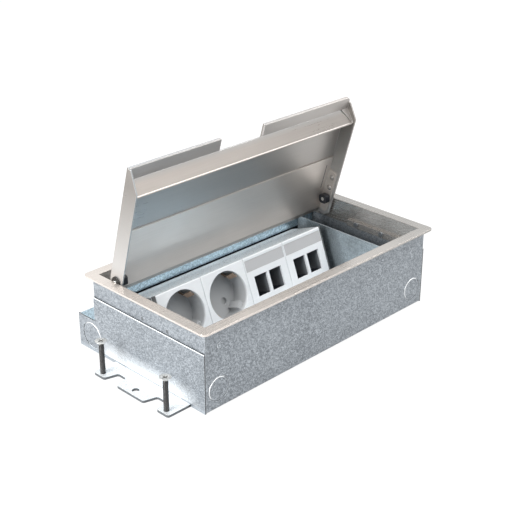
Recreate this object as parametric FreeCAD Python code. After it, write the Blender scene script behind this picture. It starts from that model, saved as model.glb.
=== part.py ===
import FreeCAD, Part
import math
import os

# Floor socket box for four 45 mm modules, with a lid that lifts and swings up.
# Millimetres. X runs along the length, the lid is hinged near the +Y side, +Z is up.
# The origin is the middle of the housing's underside.

V = FreeCAD.Vector

# Driving dimensions: trim frame
FRAME_LENGTH = 250.0
FRAME_WIDTH = 132.0
FRAME_HEIGHT = 66.0
RIM_WIDTH = 8.5
FLANGE_T = 1.5
FRAME_CORNER_R = 4.0
SKIRT_T = 1.2
SKIRT_DEPTH = 19.0
LEDGE_WIDTH = 2.7
LEDGE_END_GAP = 1.0
LEDGE_DROP = 0.3

# Driving dimensions: housing
SHEET_T = 1.0
SKIRT_WALL_GAP = 1.0
CHAMBER_DEPTH = 20.0
CHAMBER_HEIGHT = 27.0
BEND_R = 1.5
KNOCKOUT_R = 9.7
KNOCKOUT_GROOVE_W = 0.8
KNOCKOUT_GROOVE_DEPTH = 0.5
KNOCKOUT_HEIGHT = 15.8
KNOCKOUT_END_INSET = 12.0
REAR_KNOCKOUT_R = 10.5
REAR_KNOCKOUT_PITCH = 120.0
REAR_KNOCKOUT_COUNT = 2
CHAMBER_KNOCKOUT_R = 11.0

# Driving dimensions: end plates with their feet and levelling screws
END_PLATE_T = 1.0
END_PLATE_TOP = 18.5
FOOT_REACH = 21.0
FOOT_NOTCH_REACH = 10.0
FOOT_FROM_FRONT = 15.0
FOOT_LENGTH = 83.0
FOOT_TAB = 12.2
FOOT_NOTCH = 14.6
FOOT_NOTCH_R = 3.5
FOOT_TAB_R = 2.0
FOOT_T = 2.0
FOOT_HOLE_R = 2.7
FOOT_HOLE_INSET = 5.5
SCREW_R = 2.0
SCREW_CLEARANCE = 0.08
SCREW_HEIGHT = 29.0
SCREW_TIP_LIFT = 0.5
SCREW_HEAD_R = 4.5
SCREW_HEAD_H = 2.4
SCREW_EDGE_INSET = 4.0
SCREW_RECESS_W = 1.2
SCREW_RECESS_DEPTH = 1.4

# Driving dimensions: partitions and module carrier
PARTITION_FROM_ROW = 10.0
PARTITION_WALL_GAP = 0.5
PARTITION_FOOT = 8.0
MODULE = 45.0
MODULE_GAP = 0.2
MODULE_COUNT = 4
FACE_TILT = 68.74
FACE_FROM_REAR = 31.5
FACE_TOP_DROP = 16.3
COVER_T = 2.0
COVER_EDGE_R = 0.8
CARRIER_REAR_GAP = 0.2
CARRIER_TOP_DROP = 0.3
CARRIER_FOOT = 12.0
CARRIER_HEM = 6.0
CARRIER_MARGIN = 2.5
CUTOUT = 41.0
CUTOUT_CLEARANCE = 0.2
CARRIER_SCREW_X = 60.0
END_CAP_T = 2.2
END_CAP_DEPTH = 12.0

# Driving dimensions: socket inserts
SOCKET_R = 19.2
SOCKET_DEPTH = 16.5
SOCKET_CENTRE_DROP = 22.5
SOCKET_FLOOR_T = 2.0
PIN_HOLE_R = 2.7
PIN_PITCH = 19.0
GUIDE_RIB_W = 6.0
GUIDE_RIB_H = 3.6
GUIDE_RIB_ROOT = 0.5
GUIDE_RIB_FRONT = 4.5
CLIP_W = 5.0
CLIP_T = 0.8
CLIP_WALL_GAP = 0.7
CLIP_FRONT = 2.5
CLIP_SLOT_GAP = 0.2
CLIP_BULGE = 2.2
STRAP_T = 0.8
BASE_SIZE = 33.0
BASE_DEPTH = 12.0
SLEEVE_R = 3.6
SLEEVE_BORE_R = 2.6
SLEEVE_LENGTH = 10.0
SLEEVE_END_T = 1.5

# Driving dimensions: data inserts
WINDOW_W = 14.0
WINDOW_H = 17.0
WINDOW_MULLION = 2.4
WINDOW_TOP = 17.2
LABEL_TOP = 2.8
LABEL_H = 9.3
LABEL_RECESS = 0.5
TUNNEL_WALL = 1.4
TUNNEL_DEPTH = 20.0

# Driving dimensions: lid
LID_T = 1.2
LID_SIDE_GAP = 1.3
LID_FRONT_GAP = 0.3
LID_RIM_DEPTH = 13.2
LID_REAR_GAP = 1.8
LID_REACH_REAR = 17.4
LID_BEND_R = 2.0
LIP_DEPTH = 5.5
RETURN_BACK = 14.3
RETURN_DEPTH = 9.3
LID_OPEN_ANGLE = 74.0
NOTCH_WIDTH = 45.0
NOTCH_OFFSET = -6.5
NOTCH_DEPTH = 14.0
NOTCH_RETURN = 3.2
RETURN_SIDE_GAP = 0.6
STIFFENER_REACH = 38.5
STIFFENER_T = 1.0
STIFFENER_FLANGE = 9.5
STIFFENER_FLANGE_REACH = 26.0
STIFFENER_FLANGE_R = 3.0
LID_RIVET_REACH = (10.0, 20.0)
RIM_TAIL_R = 4.0

# Driving dimensions: pivots
PIVOT_BELOW_TOP = 7.2
PIVOT_R = 1.5
PIVOT_CLEARANCE = 0.08
PIVOT_SLOT_GAP = 0.3
BLOCK_W = 5.0
BLOCK_SIZE = 7.6
BLOCK_GAP = 0.3
RING_R = 4.2
RING_T = 0.6
PIN_SKIRT_ENGAGE = 1.0

# Driving dimensions: small fasteners and earth terminal
RIVET_R = 2.4
RIVET_SHANK_R = 1.6
RIVET_HEAD_H = 0.8
RIVET_FROM_END = 10.5
RIVET_ABOVE_SKIRT_EDGE = 2.6
FRAME_SCREW_R = 2.2
FRAME_SCREW_DROP = 15.8
FRAME_SCREW_HEAD_H = 1.2
FRAME_SCREW_Y = (5.0, -22.0)
STUD_R = 2.0
STUD_HEIGHT = 14.0
STUD_NUT_R = 4.0
STUD_NUT_H = 3.2
STUD_WASHER_R = 5.0
STUD_WASHER_H = 0.8
STUD_FROM_PARTITION = 30.0
STUD_FROM_FRONT = 22.5
UNDERSIDE_GAP = 0.2
CARRIER_SCREW_HEAD_H = 2.4
CARRIER_SCREW_SLOT_W = 1.0
CARRIER_SCREW_SLOT_DEPTH = 1.0

# Sizes that follow from the driving dimensions
TOP = FRAME_HEIGHT
OPEN_X = FRAME_LENGTH / 2 - RIM_WIDTH
OPEN_Y = FRAME_WIDTH / 2 - RIM_WIDTH
SKIRT_BOTTOM = TOP - SKIRT_DEPTH
WALL_IN_X = OPEN_X + SKIRT_T + SKIRT_WALL_GAP
WALL_IN_Y = OPEN_Y + SKIRT_T + SKIRT_WALL_GAP
WALL_X = WALL_IN_X + SHEET_T
WALL_Y = WALL_IN_Y + SHEET_T
WALL_TOP = TOP - FLANGE_T
FLOOR_TOP = SHEET_T
LID_X = OPEN_X - LID_SIDE_GAP
LID_IN_X = LID_X - LID_T
LID_REACH_FRONT = 2 * OPEN_Y - LID_FRONT_GAP - LID_REAR_GAP - LID_REACH_REAR
PIVOT_Y = OPEN_Y - LID_REAR_GAP - LID_REACH_REAR
LEDGE_TOP = TOP - LID_RIM_DEPTH - LEDGE_DROP
FACE_TOP_Y = OPEN_Y - FACE_FROM_REAR
CARRIER_TOP_DEPTH = (WALL_IN_Y - CARRIER_REAR_GAP - FACE_TOP_Y) / math.sin(math.radians(FACE_TILT)) - COVER_T
PARTITION_X = MODULE * MODULE_COUNT / 2 + PARTITION_FROM_ROW
FOOT_CENTRE_Y = -WALL_Y + FOOT_FROM_FRONT + FOOT_LENGTH / 2
RIVET_X = OPEN_X - RIVET_FROM_END
STUD_X = PARTITION_X - STUD_FROM_PARTITION
STUD_Y = -OPEN_Y + STUD_FROM_FRONT


def box(x0, x1, y0, y1, z0, z1):
    return Part.makeBox(x1 - x0, y1 - y0, z1 - z0, V(x0, y0, z0))


def rounded_rect(half_x, half_y, z0, z1, radius):
    solid = box(-half_x, half_x, -half_y, half_y, z0, z1)
    corners = [e for e in solid.Edges if abs(e.BoundBox.ZLength - (z1 - z0)) < 1e-6]
    return solid.makeFillet(radius, corners)


def prism_x(outline, x0, x1):
    """A closed outline of (y, z) points, drawn out along X."""
    points = [V(x0, y, z) for y, z in outline]
    face = Part.Face(Part.makePolygon(points + [points[0]]))
    return face.extrude(V(x1 - x0, 0, 0))


def cylinder_x(x0, x1, y, z, radius):
    return Part.makeCylinder(radius, x1 - x0, V(x0, y, z), V(1, 0, 0))


def cylinder_z(x, y, z0, z1, radius):
    return Part.makeCylinder(radius, z1 - z0, V(x, y, z0))


def mirrored_x(shape):
    return shape.mirror(V(0, 0, 0), V(1, 0, 0))


def fillet_along_x(solid, spots, radius):
    """Round the edges that run along X through the given (y, z) spots."""
    chosen = []
    for edge in solid.Edges:
        reach = edge.BoundBox
        if reach.YLength > 1e-6 or reach.ZLength > 1e-6:
            continue
        for y, z in spots:
            if abs(reach.YMin - y) < 1e-4 and abs(reach.ZMin - z) < 1e-4:
                chosen.append(edge)
    return solid.makeFillet(radius, chosen)


def save(name, shape):
    shape.exportStep("parts/" + name + ".step")


def ring_groove(centre, axis, radius):
    """The pressed line round a knock-out, cut from the outside of a sheet."""
    depth = KNOCKOUT_GROOVE_DEPTH
    start = V(*centre) - V(*axis) * depth
    outer = Part.makeCylinder(radius, 2 * depth, start, V(*axis))
    inner = Part.makeCylinder(radius - KNOCKOUT_GROOVE_W, 2 * depth, start, V(*axis))
    return outer.cut(inner)


# Trim frame: a flat stainless flange with a skirt that hangs inside the housing
def pivot_slot():
    """One open-topped slot in the skirt, with its mouth in the flange's inner edge."""
    half = PIVOT_R + PIVOT_SLOT_GAP
    bottom = TOP - PIVOT_BELOW_TOP
    mouth = box(OPEN_X - LEDGE_WIDTH, OPEN_X + SKIRT_T + 0.1, PIVOT_Y - half, PIVOT_Y + half, bottom, TOP + 1)
    foot = cylinder_x(OPEN_X - LEDGE_WIDTH, OPEN_X + SKIRT_T + 0.1, PIVOT_Y, bottom, half)
    return mouth.fuse(foot)


def trim_frame():
    flange = rounded_rect(FRAME_LENGTH / 2, FRAME_WIDTH / 2, WALL_TOP, TOP, FRAME_CORNER_R)
    skirt = box(-OPEN_X - SKIRT_T, OPEN_X + SKIRT_T, -OPEN_Y - SKIRT_T, OPEN_Y + SKIRT_T, SKIRT_BOTTOM, TOP)
    frame = flange.fuse(skirt)
    frame = frame.cut(box(-OPEN_X, OPEN_X, -OPEN_Y, OPEN_Y, SKIRT_BOTTOM - 1, TOP + 1))
    ledge_rear = PIVOT_Y - math.hypot(LID_REACH_REAR, LID_RIM_DEPTH) - LEDGE_END_GAP
    ledge = box(OPEN_X - LEDGE_WIDTH, OPEN_X, -OPEN_Y, ledge_rear, SKIRT_BOTTOM, LEDGE_TOP)
    slot = pivot_slot()
    frame = frame.fuse([ledge, mirrored_x(ledge)]).cut([slot, mirrored_x(slot)])
    holes = []
    for y in FRAME_SCREW_Y:
        for side in (-1, 1):
            x = side * (OPEN_X - LEDGE_WIDTH - 1)
            reach = side * (LEDGE_WIDTH + SKIRT_T + 3)
            holes.append(cylinder_x(min(x, x + reach), max(x, x + reach), y, TOP - FRAME_SCREW_DROP,
                                    RIVET_SHANK_R))
    for x in (-RIVET_X, RIVET_X):
        holes.append(rivet_bore(x))
    return frame.cut(holes).removeSplitter()


def rivet_height():
    return SKIRT_BOTTOM + RIVET_ABOVE_SKIRT_EDGE


def rivet_bore(x):
    """One bore along Y through both long sides, at the rivets' height."""
    return Part.makeCylinder(RIVET_SHANK_R, FRAME_WIDTH, V(x, -FRAME_WIDTH / 2, rivet_height()), V(0, 1, 0))


# Housing: one folded galvanised sheet, with a lower cable chamber behind the opening
def housing_outline(inset):
    """Outer line of the housing's cross-section, moved inwards by inset."""
    rear = WALL_Y + CHAMBER_DEPTH - inset
    return [
        (-WALL_Y + inset, inset),
        (rear, inset),
        (rear, CHAMBER_HEIGHT - inset),
        (WALL_Y - inset, CHAMBER_HEIGHT - inset),
        (WALL_Y - inset, WALL_TOP),
        (-WALL_Y + inset, WALL_TOP),
    ]


def rear_knockout_x():
    first = -REAR_KNOCKOUT_PITCH * (REAR_KNOCKOUT_COUNT - 1) / 2
    return [first + i * REAR_KNOCKOUT_PITCH for i in range(REAR_KNOCKOUT_COUNT)]


def housing_shell():
    outer = prism_x(housing_outline(0.0), -WALL_X, WALL_X)
    bends = [(-WALL_Y, 0.0), (WALL_Y + CHAMBER_DEPTH, 0.0), (WALL_Y + CHAMBER_DEPTH, CHAMBER_HEIGHT)]
    outer = fillet_along_x(outer, bends, BEND_R)
    inner = prism_x(housing_outline(SHEET_T), -WALL_IN_X, WALL_IN_X)
    inner_top = box(-WALL_IN_X, WALL_IN_X, -WALL_IN_Y, WALL_IN_Y, WALL_TOP - 1, WALL_TOP + 1)
    shell = outer.cut([inner, inner_top])
    cuts = []
    for side in (-1, 1):
        spot = (side * (WALL_X - KNOCKOUT_END_INSET), -WALL_Y, KNOCKOUT_HEIGHT)
        cuts.append(ring_groove(spot, (0, -1, 0), KNOCKOUT_R))
    for x in rear_knockout_x():
        spot = (x, WALL_Y + CHAMBER_DEPTH, CHAMBER_HEIGHT / 2)
        cuts.append(ring_groove(spot, (0, 1, 0), REAR_KNOCKOUT_R))
    for x in (-RIVET_X, RIVET_X):
        cuts.append(rivet_bore(x))
    for side in (-1, 1):
        for y in FRAME_SCREW_Y:
            x = side * (WALL_X - SHEET_T / 2) - 1.5
            cuts.append(cylinder_x(x, x + 3, y, TOP - FRAME_SCREW_DROP, RIVET_SHANK_R))
    cuts.append(cylinder_z(STUD_X, STUD_Y, -1, 3, STUD_R))
    for side in (-1, 1):
        cuts.append(cylinder_z(side * CARRIER_SCREW_X, carrier_screw_y(), -1, 3, STUD_R))
    return shell.cut(cuts).removeSplitter()


# End plate: an outer sheet on the housing's end, folded out into a scalloped foot
def foot_outline():
    """Outer edge of the foot as (reach, y) points, from the front end to the rear end."""
    front = FOOT_CENTRE_Y - FOOT_LENGTH / 2
    rear = FOOT_CENTRE_Y + FOOT_LENGTH / 2
    step = FOOT_NOTCH / 5
    points = [(0.0, front), (FOOT_REACH, front)]
    for start in (front + FOOT_TAB, rear - FOOT_TAB - FOOT_NOTCH):
        points.append((FOOT_REACH, start))
        points.append((FOOT_NOTCH_REACH, start + step))
        points.append((FOOT_NOTCH_REACH, start + FOOT_NOTCH - step))
        points.append((FOOT_REACH, start + FOOT_NOTCH))
    points.append((FOOT_REACH, rear))
    points.append((0.0, rear))
    return points


def levelling_spots():
    """Centres of the two levelling screws in one foot, as (x, y) on the +X side."""
    x = WALL_X + END_PLATE_T + FOOT_REACH - SCREW_EDGE_INSET
    front = FOOT_CENTRE_Y - FOOT_LENGTH / 2 + FOOT_TAB / 2
    rear = FOOT_CENTRE_Y + FOOT_LENGTH / 2 - FOOT_TAB / 2
    return [(x, front), (x, rear)]


def end_plate():
    root = WALL_X + END_PLATE_T
    plate_outline = [
        (-WALL_Y, 0.0),
        (WALL_Y + CHAMBER_DEPTH, 0.0),
        (WALL_Y + CHAMBER_DEPTH, CHAMBER_HEIGHT),
        (WALL_Y, CHAMBER_HEIGHT),
        (WALL_Y, TOP - END_PLATE_TOP),
        (-WALL_Y, TOP - END_PLATE_TOP),
    ]
    plate = prism_x(plate_outline, WALL_X, root)
    points = [V(root + reach, y, 0) for reach, y in foot_outline()]
    foot = Part.Face(Part.makePolygon(points + [points[0]])).extrude(V(0, 0, FOOT_T))
    tips = []
    roots = []
    for edge in foot.Edges:
        spot = edge.BoundBox
        if spot.ZLength < FOOT_T / 2:
            continue
        if abs(spot.XMin - root - FOOT_REACH) < 1e-4:
            tips.append(edge)
        elif abs(spot.XMin - root - FOOT_NOTCH_REACH) < 1e-4:
            roots.append(edge)
    foot = foot.makeFillet(FOOT_TAB_R, tips + roots)
    holes = [cylinder_z(x, y, -1, FOOT_T + 1, SCREW_R + SCREW_CLEARANCE) for x, y in levelling_spots()]
    holes.append(cylinder_z(root + FOOT_REACH - FOOT_HOLE_INSET, FOOT_CENTRE_Y, -1, FOOT_T + 1, FOOT_HOLE_R))
    plate = plate.fuse(foot).cut(holes)
    knockout = (root, WALL_Y + 4.0, CHAMBER_HEIGHT / 2)
    return plate.cut(ring_groove(knockout, (1, 0, 0), CHAMBER_KNOCKOUT_R)).removeSplitter()


def levelling_screw(x, y):
    head_bottom = SCREW_HEIGHT - SCREW_HEAD_H
    shank = cylinder_z(x, y, SCREW_TIP_LIFT, head_bottom, SCREW_R)
    cone = Part.makeCone(SCREW_R, SCREW_HEAD_R, SCREW_HEAD_H, V(x, y, head_bottom))
    screw = shank.fuse(cone)
    floor = SCREW_HEIGHT - SCREW_RECESS_DEPTH
    arm = SCREW_R + 0.4
    half = SCREW_RECESS_W / 2
    slots = [
        box(x - arm, x + arm, y - half, y + half, floor, SCREW_HEIGHT + 1),
        box(x - half, x + half, y - arm, y + arm, floor, SCREW_HEIGHT + 1),
    ]
    return screw.cut(slots).removeSplitter()


# Partition: the upright sheet beside the module carrier
def partition():
    front = -WALL_IN_Y + PARTITION_WALL_GAP
    rear = WALL_IN_Y - PARTITION_WALL_GAP
    top = SKIRT_BOTTOM - PARTITION_WALL_GAP
    wall = box(PARTITION_X, PARTITION_X + SHEET_T, front, rear, FLOOR_TOP, top)
    foot = box(PARTITION_X, PARTITION_X + PARTITION_FOOT, front, rear, FLOOR_TOP, FLOOR_TOP + SHEET_T)
    return wall.fuse(foot).removeSplitter()


# Module row: pieces are drawn on a level face, then tilted onto the carrier.
# In the level drawing x runs along the row, y up the face, z out of the face,
# and the origin is the middle of the row's top edge.
def onto_face(shape):
    placed = shape.copy()
    placed.rotate(V(0, 0, 0), V(1, 0, 0), FACE_TILT)
    placed.translate(V(0, FACE_TOP_Y, TOP - FACE_TOP_DROP))
    return placed


def face_direction():
    """Unit vectors up the face and out of the face, as (y, z)."""
    angle = math.radians(FACE_TILT)
    return (math.cos(angle), math.sin(angle)), (-math.sin(angle), math.cos(angle))


def module_centres():
    first = -MODULE * (MODULE_COUNT - 1) / 2
    return [first + i * MODULE for i in range(MODULE_COUNT)]


def face_foot_y():
    """Where the carrier's face sheet, behind the covers, meets the housing's floor."""
    up, out = face_direction()
    start_y = FACE_TOP_Y - out[0] * COVER_T
    start_z = TOP - FACE_TOP_DROP - out[1] * COVER_T
    fall = (start_z - FLOOR_TOP) / up[1]
    return start_y - up[0] * fall


def carrier_screw_y():
    return face_foot_y() - CARRIER_FOOT / 2


def module_carrier():
    half = MODULE * MODULE_COUNT / 2 + CARRIER_MARGIN
    back = -COVER_T - SHEET_T
    face = box(-half, half, -2 * MODULE, -CARRIER_TOP_DROP, back, -COVER_T)
    top = box(-half, half, -CARRIER_TOP_DROP - SHEET_T, -CARRIER_TOP_DROP, -CARRIER_TOP_DEPTH - COVER_T, back)
    hem_top = -CARRIER_TOP_DROP
    hem_back = -CARRIER_TOP_DEPTH - COVER_T
    hem = box(-half, half, hem_top - CARRIER_HEM, hem_top, hem_back, hem_back + SHEET_T)
    body = face.fuse([top, hem])
    cuts = []
    for x in module_centres():
        side = CUTOUT / 2
        cuts.append(box(x - side, x + side, -MODULE / 2 - side, -MODULE / 2 + side, back - 1, 1 - COVER_T))
    body = onto_face(body.cut(cuts))
    below = box(-2 * half, 2 * half, -FRAME_WIDTH, FRAME_WIDTH, -FRAME_WIDTH, FLOOR_TOP)
    body = body.cut(below)
    foot_y = face_foot_y()
    foot = box(-half, half, foot_y - CARRIER_FOOT, foot_y + 1.0, FLOOR_TOP, FLOOR_TOP + SHEET_T)
    body = body.fuse(foot)
    holes = [cylinder_z(s * CARRIER_SCREW_X, carrier_screw_y(), 0, 5, STUD_R) for s in (-1, 1)]
    return body.cut(holes).removeSplitter()


def cover_plate(x):
    half = MODULE / 2 - MODULE_GAP / 2
    plate = box(x - half, x + half, -MODULE + MODULE_GAP / 2, -MODULE_GAP / 2, -COVER_T, 0)
    rim = [e for e in plate.Edges if e.BoundBox.ZMin > -1e-6]
    return plate.makeFillet(COVER_EDGE_R, rim)


def plug_block(x, depth):
    """The part of an insert that passes through the carrier's cut-out."""
    side = CUTOUT / 2 - CUTOUT_CLEARANCE
    return box(x - side, x + side, -MODULE / 2 - side, -MODULE / 2 + side, -depth, -COVER_T)


def clip_arm_box(x, sign, grow):
    """Room of one earth clip arm; grow widens it into the slot it passes through."""
    far = SOCKET_R - CLIP_WALL_GAP
    near = far - CLIP_T
    y0 = -SOCKET_CENTRE_DROP + sign * near
    y1 = -SOCKET_CENTRE_DROP + sign * far
    low, high = min(y0, y1), max(y0, y1)
    bottom = -SOCKET_DEPTH - SOCKET_FLOOR_T - STRAP_T - grow
    return box(x - CLIP_W / 2 - grow, x + CLIP_W / 2 + grow, low - grow, high + grow, bottom, -CLIP_FRONT)


def socket_cover(x):
    depth = SOCKET_DEPTH + SOCKET_FLOOR_T
    body = cover_plate(x).fuse(plug_block(x, depth))
    y = -SOCKET_CENTRE_DROP
    recess = Part.makeCylinder(SOCKET_R, SOCKET_DEPTH + 1, V(x, y, -SOCKET_DEPTH))
    body = body.cut(recess)
    ribs = []
    for sign in (-1, 1):
        ends = sorted((x + sign * (SOCKET_R - GUIDE_RIB_H), x + sign * (SOCKET_R + GUIDE_RIB_ROOT)))
        low = y - GUIDE_RIB_W / 2
        high = y + GUIDE_RIB_W / 2
        ribs.append(box(ends[0], ends[1], low, high, -SOCKET_DEPTH, -GUIDE_RIB_FRONT))
    body = body.fuse(ribs)
    cuts = []
    for sign in (-1, 1):
        cuts.append(cylinder_z(x + sign * PIN_PITCH / 2, y, -depth - 1, -SOCKET_DEPTH + 1, PIN_HOLE_R))
        slot = clip_arm_box(x, sign, CLIP_SLOT_GAP)
        floor_room = box(x - MODULE, x + MODULE, -2 * MODULE, MODULE, -depth - 1, CLIP_T - SOCKET_DEPTH)
        cuts.append(slot.common(floor_room))
    return body.cut(cuts).removeSplitter()


def earth_clip(x):
    """A spring strap: two arms up the recess wall, joined behind its floor."""
    y = -SOCKET_CENTRE_DROP
    far = SOCKET_R - CLIP_WALL_GAP
    floor = -SOCKET_DEPTH - SOCKET_FLOOR_T
    strap = box(x - CLIP_W / 2, x + CLIP_W / 2, y - far, y + far, floor - STRAP_T, floor)
    pieces = []
    middle = (-SOCKET_DEPTH - CLIP_FRONT) / 2
    for sign in (-1, 1):
        near = far - CLIP_T
        inner = near - CLIP_BULGE
        outline = [
            (sign * far, floor - STRAP_T),
            (sign * far, -SOCKET_DEPTH + 1.0),
            (sign * (inner + CLIP_T), middle),
            (sign * far, -CLIP_FRONT),
            (sign * near, -CLIP_FRONT),
            (sign * inner, middle),
            (sign * near, -SOCKET_DEPTH + 1.0),
            (sign * near, floor - STRAP_T),
        ]
        points = [V(x - CLIP_W / 2, y + a, b) for a, b in outline]
        face = Part.Face(Part.makePolygon(points + [points[0]]))
        pieces.append(face.extrude(V(CLIP_W, 0, 0)))
    return strap.fuse(pieces).removeSplitter()


def base_top():
    return -SOCKET_DEPTH - SOCKET_FLOOR_T - STRAP_T - CUTOUT_CLEARANCE


def socket_base(x):
    """Contact block behind the cover, with two bores for the contact sleeves."""
    y = -SOCKET_CENTRE_DROP
    half = BASE_SIZE / 2
    block = box(x - half, x + half, y - half, y + half, base_top() - BASE_DEPTH, base_top())
    edges = [e for e in block.Edges if e.BoundBox.ZLength > BASE_DEPTH / 2]
    block = block.makeChamfer(3.0, edges)
    cuts = []
    for sign in (-1, 1):
        cx = x + sign * PIN_PITCH / 2
        cuts.append(cylinder_z(cx, y, base_top() - SLEEVE_LENGTH, base_top() + 1, SLEEVE_R))
    return block.cut(cuts).removeSplitter()


def contact_sleeves(x):
    y = -SOCKET_CENTRE_DROP
    sleeves = []
    for sign in (-1, 1):
        cx = x + sign * PIN_PITCH / 2
        tube = cylinder_z(cx, y, base_top() - SLEEVE_LENGTH, base_top(), SLEEVE_R)
        bore = cylinder_z(cx, y, base_top() - SLEEVE_LENGTH + SLEEVE_END_T, base_top() + 1, SLEEVE_BORE_R)
        sleeves.append(tube.cut(bore))
    return Part.makeCompound(sleeves)


def window_boxes(x, z0, z1, grow):
    boxes = []
    for sign in (-1, 1):
        centre = x + sign * (WINDOW_W + WINDOW_MULLION) / 2
        boxes.append(box(centre - WINDOW_W / 2 - grow, centre + WINDOW_W / 2 + grow,
                         -WINDOW_TOP - WINDOW_H - grow, -WINDOW_TOP + grow, z0, z1))
    return boxes


def label_box(x, z0, gap):
    half = MODULE / 2 - 1.0 + gap
    return box(x - half, x + half, -LABEL_TOP - LABEL_H - gap, -LABEL_TOP + gap, z0, 1.0)


def data_cover(x):
    plate = cover_plate(x)
    cuts = window_boxes(x, -COVER_T - 1, 1, 0.0)
    cuts.append(label_box(x, -LABEL_RECESS * 2, 0.0))
    return plate.cut(cuts).removeSplitter()


def data_label(x):
    strip = label_box(x, -LABEL_RECESS * 2, -0.1)
    return strip.common(box(x - MODULE, x + MODULE, -MODULE, 0, -LABEL_RECESS * 2, -LABEL_RECESS * 0.4))


def data_box(x):
    """Connector holder behind the windows: two blind tunnels side by side."""
    half_w = WINDOW_W + WINDOW_MULLION / 2 + TUNNEL_WALL
    block = box(x - half_w, x + half_w, -WINDOW_TOP - WINDOW_H - TUNNEL_WALL, -WINDOW_TOP + TUNNEL_WALL,
                -COVER_T - TUNNEL_DEPTH, -COVER_T)
    return block.cut(window_boxes(x, -COVER_T - TUNNEL_DEPTH + TUNNEL_WALL, 1, 0.0)).removeSplitter()


def end_cap():
    """Bevelled cheek that closes the +X end of the module row."""
    start = MODULE * MODULE_COUNT / 2
    cap = box(start, start + END_CAP_T, -MODULE, 0, -COVER_T, 0)
    lip = [e for e in cap.Edges if e.BoundBox.XMin > start + END_CAP_T / 2 and e.BoundBox.ZMin > -1e-6]
    return cap.makeChamfer(END_CAP_T * 0.6, lip)


# Lid: drawn closed, with its top face level with the flange, then lifted and swung open
def lid_profile_lip():
    """Front lip and slanted return, as the (y, z) outline of one bent sheet."""
    front = PIVOT_Y - LID_REACH_FRONT
    knee = TOP - LIP_DEPTH
    slant = math.hypot(RETURN_BACK, RETURN_DEPTH)
    off_y = LID_T * RETURN_DEPTH / slant
    off_z = LID_T * RETURN_BACK / slant
    return [
        (front, TOP),
        (front, knee),
        (front + RETURN_BACK, knee - RETURN_DEPTH),
        (front + RETURN_BACK + off_y, knee - RETURN_DEPTH + off_z),
        (front + LID_T, knee + LID_T * 0.55),
        (front + LID_T, TOP),
    ]


def open_up(shape):
    """Lift and swing a piece from the closed place to the open one."""
    placed = shape.copy()
    placed.translate(V(0, 0, PIVOT_BELOW_TOP))
    placed.rotate(V(0, PIVOT_Y, TOP), V(1, 0, 0), -LID_OPEN_ANGLE)
    return placed


def lid_rim():
    """Side wall of the lid on the +X side, rounded below the pivot."""
    front = PIVOT_Y - LID_REACH_FRONT
    rear = PIVOT_Y + LID_REACH_REAR
    wall = prism_x([
        (front, TOP),
        (front, TOP - LIP_DEPTH),
        (front + RETURN_BACK, TOP - LID_RIM_DEPTH),
        (rear, TOP - LID_RIM_DEPTH),
        (rear, TOP),
    ], LID_IN_X, LID_X)
    return fillet_along_x(wall, [(rear, TOP - LID_RIM_DEPTH)], RIM_TAIL_R)


def lid_plate():
    front = PIVOT_Y - LID_REACH_FRONT
    rear = PIVOT_Y + LID_REACH_REAR
    top = box(-LID_X, LID_X, front, rear, TOP - LID_T, TOP)
    rim = lid_rim()
    lip_x = LID_IN_X - RETURN_SIDE_GAP
    lip = prism_x(lid_profile_lip(), -lip_x, lip_x)
    edge = box(-LID_X, LID_X, front, front + LID_T, TOP - LIP_DEPTH, TOP)
    lid = top.fuse([rim, mirrored_x(rim), lip, edge])
    left = NOTCH_OFFSET - NOTCH_WIDTH / 2
    right = NOTCH_OFFSET + NOTCH_WIDTH / 2
    cut_down = TOP - LIP_DEPTH - NOTCH_RETURN
    notch = [
        box(left, right, front - 1, front + NOTCH_DEPTH, TOP - LID_T - 1.0, TOP + 1),
        box(left, right, front - 1, front + NOTCH_RETURN * RETURN_BACK / RETURN_DEPTH, cut_down, TOP + 1),
    ]
    pin_hole = cylinder_x(-LID_X - 1, LID_X + 1, PIVOT_Y, TOP - PIVOT_BELOW_TOP, PIVOT_R + PIVOT_CLEARANCE)
    lid = lid.cut(notch + [pin_hole])
    return open_up(lid.removeSplitter())


def lid_stiffener():
    """Inner plate along the hinge side, with side flanges that hold the pivots."""
    front = PIVOT_Y - STIFFENER_REACH
    rear = PIVOT_Y + LID_REACH_REAR - RIM_TAIL_R
    top = TOP - LID_T
    half = LID_IN_X
    plate = box(-half, half, front, rear, top - STIFFENER_T, top)
    flange_front = PIVOT_Y - STIFFENER_FLANGE_REACH
    flange_low = top - STIFFENER_FLANGE
    flange = box(half - STIFFENER_T, half, flange_front, rear, flange_low, top)
    flange = fillet_along_x(flange, [(flange_front, flange_low), (rear, flange_low)], STIFFENER_FLANGE_R)
    shape = plate.fuse([flange, mirrored_x(flange)])
    pin_hole = cylinder_x(-half - 1, half + 1, PIVOT_Y, TOP - PIVOT_BELOW_TOP, PIVOT_R + PIVOT_CLEARANCE)
    return open_up(shape.cut(pin_hole).removeSplitter())


def lid_rivets():
    """Two rivets a side through the lid's rims and the stiffener's flanges."""
    rivets = []
    inner = LID_IN_X - STIFFENER_T
    z = TOP - LID_T - STIFFENER_T - STIFFENER_FLANGE / 2
    for reach in LID_RIVET_REACH:
        y = PIVOT_Y - reach
        head = Part.makeCone(RIVET_R, RIVET_R * 0.6, RIVET_HEAD_H, V(inner, y, z), V(-1, 0, 0))
        rivets.append(head)
        rivets.append(mirrored_x(head))
    return open_up(Part.makeCompound(rivets))


# Pivots: pins that stay level with the flange when the lid is raised
def pivot_pin():
    inner = LID_IN_X - STIFFENER_T - BLOCK_GAP - BLOCK_W
    return cylinder_x(inner, OPEN_X + PIN_SKIRT_ENGAGE, PIVOT_Y, TOP, PIVOT_R)


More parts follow.
